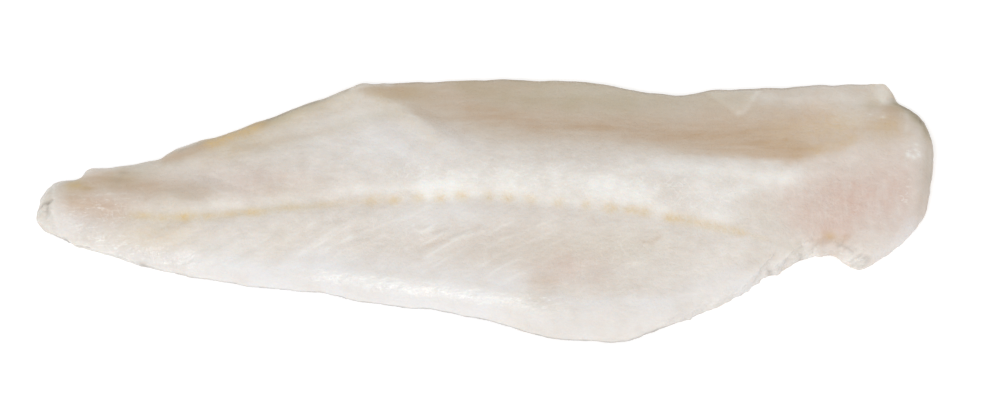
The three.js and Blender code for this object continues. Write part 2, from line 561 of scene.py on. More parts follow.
    def threads(
        self, graph: NodeGraph, place: bpy.types.NodeSocket, shown: bpy.types.NodeSocket
    ) -> bpy.types.NodeSocket:
        """Draws fine white threads that wander over the flesh, along the level lines of a noise.

        Args:
            graph: The tree to add to.
            place: Object coordinates.
            shown: How much the threads show.

        Returns:
            Their share of the colour.
        """
        level = graph.add(
            "ShaderNodeTexNoise",
            {"Scale": 1 / (self.thread * MM), "Detail": 2.0, "Distortion": 0.6},
            {"Vector": place},
            "Fac",
        )
        middle = {"operation": "SUBTRACT", "Value_001": 0.5}
        off = graph.add("ShaderNodeMath", middle, {"Value": level}, "Value")
        away = graph.add("ShaderNodeMath", {"operation": "ABSOLUTE"}, {"Value": off}, "Value")
        thin = {"From Max": 0.02, "To Min": 1.0, "To Max": 0.0}
        lines = graph.add("ShaderNodeMapRange", thin, {"Value": away}, "Result")
        links = {"Value": lines, "Value_001": shown}
        return graph.add("ShaderNodeMath", {"operation": "MULTIPLY"}, links, "Value")

    def septa(
        self,
        graph: NodeGraph,
        flake_map: bpy.types.NodeSocket,
        mottle: bpy.types.NodeSocket,
        shown: bpy.types.NodeSocket,
    ) -> bpy.types.NodeSocket:
        """Draws the thin milky sheets between flakes, plain in some places and lost in others.

        Args:
            graph: The tree to add to.
            flake_map: The flake coordinate, then the distance from the bone line, in metres.
            mottle: Where the sheets come and go.
            shown: How much the flakes show.

        Returns:
            Their share of the colour.
        """
        # A wave texture's bands are a tenth of pi apart at a scale of 1.
        scale = math.pi / 10 / (self.flake_pitch * MM)
        bands = graph.add(
            "ShaderNodeTexWave",
            {"Scale": scale, "Distortion": 3.0, "Detail": 3.0, "Detail Scale": 0.6},
            {"Vector": flake_map},
            "Fac",
        )
        share = shown
        for pattern, low, high in ((bands, 0.74, 1.0), (mottle, 0.44, 0.64)):
            limits = {"From Min": low, "From Max": high}
            lines = graph.add("ShaderNodeMapRange", limits, {"Value": pattern}, "Result")
            links = {"Value": lines, "Value_001": share}
            share = graph.add("ShaderNodeMath", {"operation": "MULTIPLY"}, links, "Value")
        return share


@dataclass(frozen=True)
class WhitePaper:
    """A matt white sheet, which glows a little so that it stays plain white around the fillet."""

    name: str = "white_paper"
    colour: str = "#f5f5f5"
    glow: float = 0.28

    def material(self) -> bpy.types.Material:
        """Makes the paper material.

        Returns:
            The material.
        """
        material = bpy.data.materials.new(self.name)
        graph = NodeGraph(material)
        paper = graph.add(
            "ShaderNodeBsdfPrincipled",
            {
                "Base Color": linear(self.colour),
                "Roughness": 1.0,
                "Specular IOR Level": 0.0,
                "Emission Color": linear(self.colour),
                "Emission Strength": self.glow,
            },
            {},
            "BSDF",
        )
        graph.add("ShaderNodeOutputMaterial", {}, {"Surface": paper})
        return material


@dataclass(frozen=True)
class Marks:
    """Marks that this fillet is known by, listed in a field for each tone.

    The edges of a mark wander in and out, and those of a small mark wander less.
    """

    # How far the edges wander, the size of one bend, the size of a mark that wanders in full, and the step
    # from the noise that is read along the fillet to the one across it.
    wander: float = 1.3
    wander_size: Size = (7.0, 7.0, 7.0)
    wander_full: float = 5.0
    wander_apart: float = 100.0
    # Cool white flesh of the tail, the belly edge, the flap and the crest.
    lilac: tuple[Patch | Streak, ...] = (
        Patch(-148.5, -1, 2.5, 8, 0.35),
        Patch(-142.8, -2.5, 3, 3.5, 0.35),
        Patch(-138.6, -8, 6, 4.5, 0.45),
        Patch(-124, -16, 12, 4, 0.15),
        Patch(-85, -19, 18, 6, 0.35),
        Streak(5, 0.6, ((-62, -22), (-40, -26), (-15, -29.5), (8, -33))),
        Patch(-29, -11.5, 8, 5, 0.2),
        Patch(-10, -9, 14, 4, 0.6),
        Patch(36, -45, 22, 5, 0.25),
        Streak(2.4, 0.45, ((20, -39.2), (23, -39.8), (32, -41.6), (42, -39.6), (59, -39.8))),
        Patch(66, -33, 18, 7, 0.15),
        Patch(76, -6, 8, 6, 0.3),
        Patch(134, -14, 10, 8, 0.22),
        Patch(131, -3, 5, 6, 0.22),
        Patch(143, -10, 5, 5, 0.5),
        Patch(-30, 18, 24, 12, 0.6),
        Streak(2, 0.35, ((82, -33), (91.5, -27.4), (100, -23.4), (106, -20.2))),
    )
    # Pink flesh of the head end, the gut hollow and the tail.
    blush: tuple[Patch | Streak, ...] = (
        Patch(110, -4, 14, 8, 0.35),
        Patch(124, -2, 14, 12, 0.45),
        Patch(137, 4, 9, 13, 0.33),
        Patch(99, -8, 9, 6, 0.1),
        Patch(113, 27, 13, 10, 0.4),
        Patch(111, -13, 9, 4.5, 0.35),
        Streak(1.6, 0.12, ((121.5, 2.4), (121.3, -4), (120.2, -10.3), (119.8, -13.6))),
        Patch(26, -28, 13, 6, 0.3),
        Patch(12, -20, 30, 7, 0.1),
        Patch(-82, 4, 22, 6, 0.26),
        Patch(-128, -2, 14, 6, 0.25),
    )
    # Thin, grey-yellow flesh along the back edge and in the shade of the belly.
    olive: tuple[Patch | Streak, ...] = (
        Streak(5, 0.28, ((-120, 12), (-97, 20), (-77, 28), (-58, 35))),
        Streak(2.2, 0.3, ((-76, 28.6), (-67, 32.8), (-57, 36.8), (-48, 40.5))),
        Streak(3.5, 0.2, ((-85, 17.4), (-68, 20.4), (-53, 23.6), (-41, 28), (-31, 30.2))),
        Streak(2, 0.2, ((-119, -6), (-104, -7.4), (-87, -6.8), (-56, -4.4))),
        Patch(-78, 15.5, 14, 5, 0.08),
        Patch(-104, 0.5, 14, 5, 0.25),
        Patch(-29, 41, 11, 4.5, 0.32),
        Patch(-70, -1, 8, 4, 0.12),
        Patch(-148, 0, 3, 7, 0.25),
        Patch(-138.7, 6.4, 3.6, 2.4, 0.45),
        Patch(-123, 7, 9, 5, 0.4),
        Patch(-138, 3, 8, 6, 0.2),
        Patch(22, -21, 26, 6, 0.18),
        Patch(48, -22, 14, 8, 0.12),
        Patch(91, -9, 7, 6, 0.12),
        Patch(101, -18.5, 5, 2, 0.12),
        Patch(130.5, 37.5, 3.5, 3, 0.45),
        Patch(137, 35.6, 3.5, 3.5, 0.45),
        Streak(
            2.8, 0.8,
            (
                (139.5, 38.5), (141.5, 35.5), (144.1, 33.2),
                (146.3, 30.7), (148.1, 28.1), (148.9, 24.7),
            ),
        ),
        Patch(84, 38, 6, 4, 0.2),
    )
    # Brown muscle that lay under the skin, and painted shade in a fissure of the belly.
    brown: tuple[Patch | Streak, ...] = (
        Streak(
            4, 0.2, ((-6, 32.2), (4, 29.5), (17.5, 27.1), (31, 25.1), (44, 23.3), (54.4, 22.7), (70, 21))
        ),
        Streak(5, 0.18, ((76, 17), (98, 15), (107, 13), (115, 15.5), (121, 19))),
        Patch(104, 13.5, 5, 3, 0.15),
        Patch(100, 18.4, 1.3, 1, 0.2),
        Patch(84, 22.5, 12, 5, 0.15),
        Streak(3, 0.09, ((75, 34), (97, 34))),
        Patch(133.5, 25.5, 10, 8.5, 0.38),
        Patch(136, 28, 4.5, 4, 0.12),
        Patch(137, 34.5, 4, 4.5, 0.3),
        Streak(1.8, 0.15, ((-85, 17.4), (-68, 20.4), (-53, 23.6))),
        Patch(-33, 41, 8, 4, 0.1),
        Patch(-92, 15, 10, 5, 0.1),
        Patch(-97, 19.4, 4, 2.2, 0.15, 22),
        Patch(-97, 1, 7, 4, 0.22),
        Patch(-64, 1, 10, 4, 0.08),
        Streak(2.8, 0.36, ((-108, 15.4), (-96.8, 19.6), (-87.2, 23.7), (-76.9, 28.2))),
        Patch(-138, 4.5, 7, 4, 0.25),
        Patch(-134.3, 4, 2.8, 1.5, 0.16),
        Patch(-130.5, 8.8, 6, 4, 0.3),
        Patch(-123, 6.2, 8, 5, 0.3),
        Patch(-112, 4, 10, 4.5, 0.38),
        Streak(3.5, 0.35, ((-139, -1), (-129.4, -3), (-122.6, -5))),
        Patch(19, -32.5, 5, 2.5, 0.22),
        Patch(44, -34.5, 14, 3, 0.06),
        Streak(0.8, 0.25, ((50.7, -20.2), (53.9, -20.6), (56.6, -18.6))),
        # Painted shade in the fissure below the bone line.
        Patch(-19.2, -18.8, 4.5, 1.3, 0.18, 14),
        Patch(113.5, -13.9, 2.4, 1, 0.45),
        Patch(119.2, -14.2, 1.5, 1, 0.3),
        Streak(0.9, 0.3, ((108.4, -16.4), (111.8, -15.3), (115.2, -15.1), (118, -15.3))),
        Patch(117, 15.6, 5, 2.6, 0.2, 35),
    )
    # Dense white sheets of tissue: the crown of the loin and the lines beside the bones. Along the roll of
    # the belly, on one small ridge and in small dots at the tail's tip and the head end, the white is a
    # painted highlight.
    milk: tuple[Patch | Streak, ...] = (
        Streak(5, 0.6, ((-20, 1.8), (-6, 2.8), (10.5, 2), (24, 0.8), (37, -0.8), (50, -3.6))),
        Streak(1.6, 0.1, ((-97.5, -4.6), (-77.5, -2.8), (-49.5, 0))),
        Streak(1.8, 0.3, ((-49.5, 0), (-30, 0.4), (-12.6, 0.8))),
        Streak(2.4, 0.3, ((-22, -2.6), (5, -2.6), (14, -4.4), (38, -7.5))),
        Streak(2, 0.2, ((43.6, -5.5), (56.7, -8.7), (72.6, -11), (80, -11))),
        Patch(-16, -11.5, 7, 2.5, 0.12),
        Patch(72, 0, 14, 8, 0.25),
        Patch(77, -8, 7, 4, 0.2),
        Streak(3, 0.3, ((46, 5.6), (54.8, 5.6), (70.4, 5), (87.6, 3.4), (98, 2.4))),
        Streak(2.5, 0.25, ((103.6, 4.2), (93.5, 0.8), (84.4, -1.9))),
        Streak(0.7, 0.25, ((-48, -11.4), (-55.6, -16.4), (-63.8, -22.1))),
        Streak(0.7, 0.2, ((-18, -5.9), (-30, -10.5), (-43, -15.5), (-56, -20.5))),
        Streak(0.5, 0.3, ((-48.4, 12), (-42, 8.8), (-37.6, 6.3))),
        Streak(0.5, 0.25, ((-45.4, 11.9), (-35.3, 6.2))),
        Streak(1.3, 0.4, ((-46.5, 42), (-41, 44.2), (-34, 46))),
        Patch(-56, 28, 12, 6, 0.15, 18),
        Patch(-49, 37, 5, 4, 0.2),
        Patch(-43, 30, 5, 4, 0.35),
        Patch(-44, 17, 14, 8, 0.15),
        Patch(-30, 34, 4, 4, 0.25),
        Streak(0.8, 0.2, ((-146.5, 7.4), (-148.4, 4.5), (-149.6, 0.3), (-149.8, -4), (-146.4, -8.7))),
        Streak(0.8, 0.2, ((-145.7, 6), (-145.4, 0), (-145.2, -4.5), (-143.2, -9))),
        Patch(-136, 11.5, 5, 2, 0.22),
        Streak(1.6, 0.28, ((-140, -12.1), (-135.9, -14.1), (-130.8, -15.8), (-125.7, -17.3))),
        Patch(-90, -20, 14, 6, 0.17),
        # Painted glints on the tip of the tail.
        Patch(-147.3, 2.2, 0.8, 0.8, 0.35),
        Patch(-149, -2.1, 0.7, 0.8, 0.15),
        Patch(-146.9, -4.7, 0.8, 0.8, 0.35),
        # A painted glint along a small ridge below the bone line.
        Streak(0.7, 0.25, ((-24, -14.4), (-21.2, -14.8), (-18.5, -14.1))),
        Streak(0.6, 0.25, ((-2, -15.4), (-7.3, -16.7), (-11.9, -17.4))),
        # Painted highlights along the wet roll of the belly.
        Patch(-52, -28.6, 12, 1.8, 0.25, -9),
        Patch(-35, -31.3, 10, 1.8, 0.3, -9),
        Patch(-17, -34.1, 10, 2, 0.4, -9),
        Patch(0, -37, 9, 2, 0.3, -10),
        Patch(14, -40, 8, 2.4, 0.3, -11),
        Streak(0.9, 0.18, ((91.9, 42.3), (89.5, 36.6), (86.5, 32.1), (84.4, 31.1))),
        Patch(94.5, 39.5, 4, 3, 0.2),
        Patch(134.8, 40.3, 1.8, 2.2, 0.4),
        Patch(134.2, 44, 2.4, 4.5, 0.45, -8),
        Patch(119.5, 39.5, 7, 4, 0.35),
        Patch(105, 37.5, 9, 3.5, 0.25),
        Patch(32, 42, 20, 4, 0.14),
        Patch(122, 31, 6, 4, 0.2),
        Patch(114, 26, 12, 9, 0.17),
        Streak(0.9, 0.15, ((142.2, 34.5), (141.6, 30), (140.9, 24.1))),
        Streak(1.4, 0.3, ((105.8, -18.8), (107.2, -18.2), (108.8, -17.6))),
        Streak(1.5, 0.3, ((118, -19.8), (120, -20.6), (123.5, -22.2))),
        # Painted glints at the head end.
        Patch(140.7, 14.1, 0.8, 0.9, 0.6),
        Patch(142.6, 13.7, 0.9, 0.7, 0.55),
        Patch(144.4, 14.9, 0.8, 0.8, 0.6),
        Patch(143.5, 16.4, 0.8, 0.6, 0.45),
        Patch(143.9, 18.6, 0.8, 0.6, 0.4),
        Patch(133.2, 29.7, 0.8, 0.7, 0.4),
    )
    # Yellow fat and blood along the bones and at the rim of the back.
    ochre: tuple[Patch | Streak, ...] = (
        Patch(133, 25, 8.5, 7, 0.2),
        Streak(1.2, 0.12, ((-119, -6), (-110, -7), (-94, -7.2), (-78, -6.2), (-40, -3.5))),
        Patch(-115, -6.4, 2.4, 1.2, 0.25),
        Patch(-108.2, -7.1, 1.8, 1.1, 0.15),
        Patch(-100.7, -7.2, 2.6, 1.5, 0.35),
        Patch(-93, -7.2, 2, 1.2, 0.2),
        Patch(-85.7, -6.5, 2.4, 1.3, 0.25),
        Patch(-78.5, -6.2, 3.2, 1.5, 0.35),
        Patch(-66, -4.9, 3.5, 1.2, 0.15),
        Patch(-53, -4, 3, 1.2, 0.15),
        Patch(-138.7, 5.8, 3, 2.2, 0.3),
        Patch(-134, 4, 2.2, 1.2, 0.2),
        Patch(-110, -13, 14, 6, 0.19),
        Patch(-68, -17, 10, 5, 0.06),
        Patch(-82, 21, 18, 6, 0.15, 22),
        Streak(4, 0.12, ((-36, 37), (-28, 28.5), (-19.5, 18.6))),
        Streak(4, 0.12, ((-70, 29), (-58, 33), (-47, 37.5))),
        Patch(-32, 40, 10, 5, 0.09),
        Patch(-46, 32, 12, 8, 0.07),
        Streak(1.7, 0.28, ((61, -12.2), (69.9, -13.5), (76.5, -14.9), (83.1, -15.9))),
        Streak(0.8, 0.15, ((83.1, -15.9), (88.1, -17.2), (92, -17.6))),
        Patch(117, 26, 9, 8, 0.21),
        Patch(103, 24, 10, 9, 0.1),
        Patch(136, 27.5, 4, 4, 0.12),
        Patch(132.5, 42, 4, 4, 0.12),
        Patch(113.5, -13.9, 2, 0.9, 0.2),
        Streak(2.4, 0.15, ((110, 12.5), (116, 14.8), (121.5, 18.5))),
        Streak(3, 0.4, ((-93, 21.6), (-87, 24.2), (-79, 27.7))),
    )
    # Painted shade in the partings, splits and notches of the flesh and along the rims, and a few dark
    # spots.
    umber: tuple[Patch | Streak, ...] = (
        Streak(0.6, 0.25, ((-149.9, -0.8), (-148.8, 0.1), (-147.6, 0), (-146, 0.4))),
        Streak(0.6, 0.15, ((-147.2, -0.2), (-147.6, -2.3), (-146.9, -4.2))),
        Patch(-140.5, 8.2, 2.6, 0.8, 0.25, 10),
        Patch(-122.8, 10.4, 1.4, 0.8, 0.2),
        Patch(-134, 4, 1.8, 0.8, 0.15),
        Patch(-124.5, 7.5, 3, 1.6, 0.1),
        Streak(1, 0.16, ((-104, 19), (-92, 23.8), (-80.4, 28.4), (-67, 33.8), (-57, 37.6), (-48, 41.5))),
        Streak(0.6, 0.22, ((-74.5, 30.6), (-67, 34), (-58, 37.6))),
        Patch(-114.6, -21.8, 1.8, 0.6, 0.35, -15),
        Streak(0.7, 0.06, ((-2.6, -13.3), (-6.6, -15), (-10.9, -16.4), (-15.8, -18.3))),
        Streak(0.5, 0.12, ((-18.5, -15.4), (-15.9, -14.6), (-12.9, -13.9))),
        Streak(1.5, 0.25, ((139.6, 39), (144.6, 33.2), (148.4, 28.4), (149.4, 24.7))),
        Streak(
            0.5, 0.2, ((116.2, -16.5), (117.9, -16.3), (119.5, -17.4), (120.5, -18.4), (121.1, -19.1))
        ),
        Patch(93.7, -25.9, 1.2, 0.8, 0.3),
        Patch(104.2, -20.4, 0.9, 0.7, 0.25),
        Streak(0.5, 0.15, ((120.5, -21.2), (122.7, -20.3), (124.1, -19.5))),
        Streak(0.5, 0.15, ((121.2, -22.2), (123.4, -21.4), (125.7, -20))),
        Streak(0.5, 0.15, ((122.8, -22.8), (125.1, -22), (126.8, -20.2))),
        Streak(0.5, 0.12, ((103.5, -19.8), (107.4, -17.6))),
    )
    # Painted grey shade where the flesh is thin or wet through, and along the edges.
    slate: tuple[Patch | Streak, ...] = (
        Patch(5, -20, 30, 8, 0.05),
        Patch(-127, -3, 8, 4, 0.04),
        Patch(-96, 3.4, 9, 5, 0.11),
        Patch(25, -48.5, 10, 2.5, 0.04),
        Patch(66, -42.5, 6, 4, 0.08),
        Patch(111.5, -17.1, 3, 1.5, 0.08),
        Patch(148.3, 5, 3, 7, 0.07),
    )
    # Where the film of water is thick enough to glint.
    wet: tuple[Patch | Streak, ...] = (
        Patch(-50, -29.9, 7, 1.8, 0.7, -8),
        Patch(-36, -32.6, 6, 1.8, 0.6, -8),
        Patch(-20, -34.3, 8, 2, 0.8, -8),
        Patch(-7, -36.2, 5, 2, 0.8, -8),
        Patch(7, -37.8, 6, 2.2, 0.6, -10),
        Patch(142, 15.5, 4, 3, 0.9),
        Patch(138.5, 1, 4, 6, 0.6),
        Streak(4, 0.6, ((-139, -9), (-126, -15.5), (-112, -20), (-98, -22.5))),
        Patch(-148, 0, 3, 8, 0.8),
        Streak(2.5, 0.6, ((107, -18.7), (111, -17.4), (118.5, -18.4), (124, -21.4))),
    )
    # Painted glints of small drops and of the water film, and white flecks of torn tissue.
    flecks: tuple[Patch | Streak, ...] = (
        Streak(4, 0.4, ((-20, 2), (10.5, 2.5), (30, 1), (48, -2))),
        Streak(2, 0.75, ((-55.5, -28), (-35.6, -31.4), (-9.2, -35.6), (17, -40))),
        Patch(20, -40, 7, 3, 0.45, -20),
        Patch(142.8, 15.6, 3, 2.4, 0.7),
        Patch(138.8, 1, 2, 5, 0.5),
        Patch(129.1, 31.7, 2.4, 1.4, 0.8),
        Streak(3, 0.5, ((-136, -12), (-125, -15.5), (-112, -19.5), (-100, -22))),
        Streak(2.2, 0.55, ((107, -20), (111, -19), (116, -18.8), (123, -22))),
        Patch(-130, -5, 16, 8, 0.3),
    )
    # Fine white threads.
    threads: tuple[Patch | Streak, ...] = (
        Streak(8, 0.4, ((-24, 5), (0, 4), (40, 1), (80, -3))),
        Patch(-60, 10, 30, 12, 0.1),
        Patch(-35, -14, 25, 9, 0.25),
        Patch(40, -26, 30, 10, 0.15),
        Patch(-128, -6, 16, 9, 0.25),
        Patch(120, -6, 14, 10, 0.15),
    )

    def drift(self, points: np.ndarray) -> np.ndarray:
        """Gives how far a large mark's edge wanders.

        Args:
            points: The skin's vertices, one row each, in millimetres.

        Returns:
            The drift along the fillet and across it, in millimetres.
        """
        places = (points, points + self.wander_apart)
        return self.wander * np.stack([clouds(p, self.wander_size) for p in places])

    def tint(self, skin: Skin, spots: Sequence[Patch]) -> None:
        """Adds the marks.

        Args:
            skin: The refined skin, whose shares are changed.
            spots: The ochre spots of the bone line.
        """
        placed = [(tone, mark) for tone in Tone for mark in getattr(self, tone.value, ())]
        for tone, mark in (*placed, *((Tone.OCHRE, spot) for spot in spots)):
            x, y = skin.plan + min(1.0, mark.reach / self.wander_full) * skin.drift
            skin.shares[tone] += mark.share(x, y)


@dataclass(frozen=True)
class BoneLine:
    """The groove along the middle, with a row of spots where the fine bones were drawn out.

    The spots are uneven in place, size and strength.
    """

    route: Route = (
        (-151.0, -4.0), (-117.5, -5.3), (-109.0, -7.3), (-90.0, -7.0), (-69.0, -5.0), (-46.0, -3.6),
        (-15.5, -3.2), (5.0, -3.2), (14.0, -5.0), (33.5, -7.5), (50.5, -10.2), (68.0, -13.2),
        (84.0, -15.8), (93.0, -17.2), (151.0, -27.0),
    )
    places: tuple[float, ...] = (
        -38.2, -31.2, -23.2, -15.8, -8.6, 0.3, 6.5, 14.0, 23.5, 32.7, 40.6, 47.0, 51.5, 60.0,
    )
    depth: float = 0.3
    offset: float = 0.3
    size: tuple[float, float] = (2.3, 1.8)
    size_range: tuple[float, float] = (0.8, 1.15)
    strength_range: tuple[float, float] = (0.28, 0.42)
    seed: int = 7

    def across(self, x: np.ndarray | float) -> np.ndarray | float:
        """Gives the line's place across the fillet, at places along it."""
        return np.interp(x, *zip(*self.route))

    def spots(self) -> list[Patch]:
        """Sets the row of spots.

        Returns:
            One oval for each bone.
        """
        draw = np.random.default_rng(self.seed)
        spots = []
        for x in self.places:
            y = float(self.across(x)) + draw.uniform(-self.offset, self.offset)
            along, across = (s * draw.uniform(*self.size_range) for s in self.size)
            spots.append(Patch(x, y, along, across, draw.uniform(*self.strength_range)))
        return spots


@dataclass(frozen=True)
class Flakes:
    """The chevrons of muscle, swept back on both sides of the bone line, in millimetres."""

    belly_sweep: float = 2.3
    back_sweep: float = 1.8
    sweep_turn: float = 75.0
    strength: float = 0.27
    head_fade: float = 0.6
    back_fade: float = 0.6

    def coordinate(self, x: np.ndarray, off_bone: np.ndarray) -> np.ndarray:
        """Gives the flake coordinate.

        Args:
            x: Places along the fillet.
            off_bone: Distances from the bone line, negative on the belly's side.

        Returns:
            Places along the fillet, carried up the chevrons to the bone line.
        """
        away = np.minimum(np.abs(off_bone), self.sweep_turn)
        sweep = np.where(off_bone < 0, self.belly_sweep, self.back_sweep)
        return x + sweep * away * (1 - away / (2 * self.sweep_turn))

    def tint(self, skin: Skin, cut: np.ndarray) -> None:
        """Shows the sheets between flakes in the middle of the fillet, away from its rim and bones.

        Args:
            skin: The refined skin, whose shares are changed.
            cut: How much of the back's facet covers each vertex.
        """
        x, _ = skin.plan
        middle = rise(x, -120.0, -80.0) * rise(x, 100.0, 80.0)
        shown = self.strength * middle * (1.0 - self.head_fade * rise(x, 0.0, 30.0)) * (1.0 - cut)
        shown *= rise(skin.rim, 6.0, 14.0) * rise(np.abs(skin.off_bone), 2.0, 8.0)
        skin.shares[Tone.FLAKES] += shown * (1.0 - self.back_fade * rise(skin.off_bone, 0.0, 6.0))


@dataclass(frozen=True)
class Facet:
    """The flat along the back that was cut from the skin, where brown muscle shows."""

    edge: Route = (
        (-50.0, 40.0), (-38.8, 36.7), (-29.4, 30.0), (-22.7, 24.5), (-16.0, 17.5), (-8.0, 12.0),
        (4.0, 9.8), (24.0, 7.8), (44.0, 7.7), (67.0, 7.8), (85.0, 7.0), (95.0, 6.3), (104.0, 6.2),
        (110.0, 9.2), (115.0, 13.2), (120.0, 17.8), (126.0, 24.0), (134.0, 33.0), (152.0, 55.0),
    )
    softness: float = 5.0
    middle_softness: float = 12.0
    brown: float = 0.33
    ochre: float = 0.09
    olive: float = 0.28
    blush: float = 0.12

    def depth(self, x: np.ndarray, y: np.ndarray) -> np.ndarray:
        """Measures how far places lie inside the facet.

        Args:
            x: Places along the fillet.
            y: Places across it.

        Returns:
            Distances in millimetres, negative outside.
        """
        edge_x, edge_y = (np.array(c) for c in zip(*self.edge))
        slope = np.interp(x, (edge_x[1:] + edge_x[:-1]) / 2, np.diff(edge_y) / np.diff(edge_x))
        return (y - np.interp(x, edge_x, edge_y)) / np.hypot(1.0, slope)

    def tint(self, skin: Skin) -> np.ndarray:
        """Adds the facet's tones, browner towards its edge and more olive towards the rim.

        Args:
            skin: The refined skin, whose shares are changed.

        Returns:
            How much of the facet covers each vertex.
        """
        x, _ = skin.plan
        depth = self.depth(*(skin.plan + skin.drift))
        middle = rise(x, 80.0, 35.0) * rise(x, -26.0, -4.0)
        cut = rise(depth, 0.0, self.softness + self.middle_softness * middle)
        upper = rise(depth, 18.0, 30.0)
        lower = 1.0 - 0.7 * upper
        head_half = rise(x, 45.0, 95.0)
        head_end = rise(x, 98.0, 122.0)
        brown = cut * (self.brown + 0.05 * head_half) * (1.0 - 0.6 * upper * rise(x, -30.0, 60.0))
        skin.shares[Tone.BROWN] += brown * (1.0 - 0.85 * head_end)
        skin.shares[Tone.OCHRE] += self.ochre * cut * head_half * lower
        olive = cut * (self.olive + 0.34 * upper) * (1.0 - 0.7 * head_half)
        skin.shares[Tone.OLIVE] += olive * (1.0 - head_end)
        skin.shares[Tone.BLUSH] += self.blush * cut * head_half * (1.0 - head_end) * lower
        return cut


@dataclass(frozen=True)
class CutEdge:
    """The edge all round, where the flesh is thin and turns down to the floor."""

    wall_brown: float = 0.18
    wall_shade: float = 0.1
    corner_lilac: float = 0.5
    rim_olive: float = 0.2
    rim_shade: float = 0.12
    back_edge_shade: float = 0.34
    fray_size: Size = (9.0, 4.0, 4.0)
    underside_shade: float = 0.45

    def tint(self, skin: Skin) -> None:
        """Adds the edge's tones.

        Args:
            skin: The refined skin, whose shares are changed.
        """
        self.tint_head(skin)
        self.tint_belly(skin)
        self.tint_back(skin)

    def tint_head(self, skin: Skin) -> None:
        """Adds brown walls with painted grey shade, a pale corner, and olive with a painted dark outline
        along the rim, at the head end.

        Args:
            skin: The refined skin, whose shares are changed.
        """
        x, y = skin.plan
        wall = rise(skin.tilt, 0.95, 0.6)
        head_wall = wall * rise(x, 134.0, 144.0)
        skin.shares[Tone.BROWN] += self.wall_brown * head_wall * rise(y, -10.0, 0.0)
        # Painted grey shade on the head end's wall.
        skin.shares[Tone.SLATE] += self.wall_shade * head_wall * rise(y, -14.0, -4.0)
        skin.shares[Tone.LILAC] += self.corner_lilac * wall * rise(x, 122.0, 134.0) * rise(y, -4.0, -12.0)
        head = rise(x, 128.0, 140.0) * rise(y, 2.0, 12.0)
        skin.shares[Tone.OLIVE] += self.rim_olive * rise(skin.rim, 5.0, 1.0) * head
        # Painted dark shade at the very edge of the head end's rim.
        skin.shares[Tone.UMBER] += self.rim_shade * rise(skin.rim, 1.0, 0.3) * head

    def tint_belly(self, skin: Skin) -> None:
        """Adds the belly's cool rim, and painted grey shade where the near edge turns under.

        Args:
            skin: The refined skin, whose shares are changed.
        """
        x, _ = skin.plan
        belly = rise(skin.off_bone, -8.0, -14.0) * rise(x, 110.0, 90.0)
        cool = 0.35 + 0.55 * rise(x, 10.0, -10.0) - 0.4 * rise(x, -70.0, -100.0)
        skin.shares[Tone.LILAC] += cool * rise(skin.rim, 9.0, 4.0) * belly
        shaded = 1.0 - 0.85 * rise(x, 50.0, 70.0) - 0.5 * rise(x, -95.0, -115.0)
        near = rise(skin.backward, 0.3, -0.1) * shaded
        # Painted grey shade under the near edge.
        skin.shares[Tone.SLATE] += self.underside_shade * rise(skin.tilt, 0.2, -0.1) * near

    def tint_back(self, skin: Skin) -> None:
        """Adds a frayed line of painted shade where the back edge turns away.

        Args:
            skin: The refined skin, whose shares are changed.
        """
        x, _ = skin.plan
        frayed = 0.5 + 0.5 * rise(clouds(skin.points, self.fray_size), -0.5, 0.5)
        turning = rise(skin.tilt, 0.9, 0.7) * rise(skin.tilt, 0.2, 0.65)
        away = rise(skin.backward, 0.2, 0.4) * turning * rise(skin.rim, 4.0, 2.5)
        back = rise(skin.off_bone, 14.0, 24.0) * rise(x, -52.0, -38.0)
        # Painted dark shade along the back edge, where it turns away.
        skin.shares[Tone.UMBER] += self.back_edge_shade * away * frayed * back


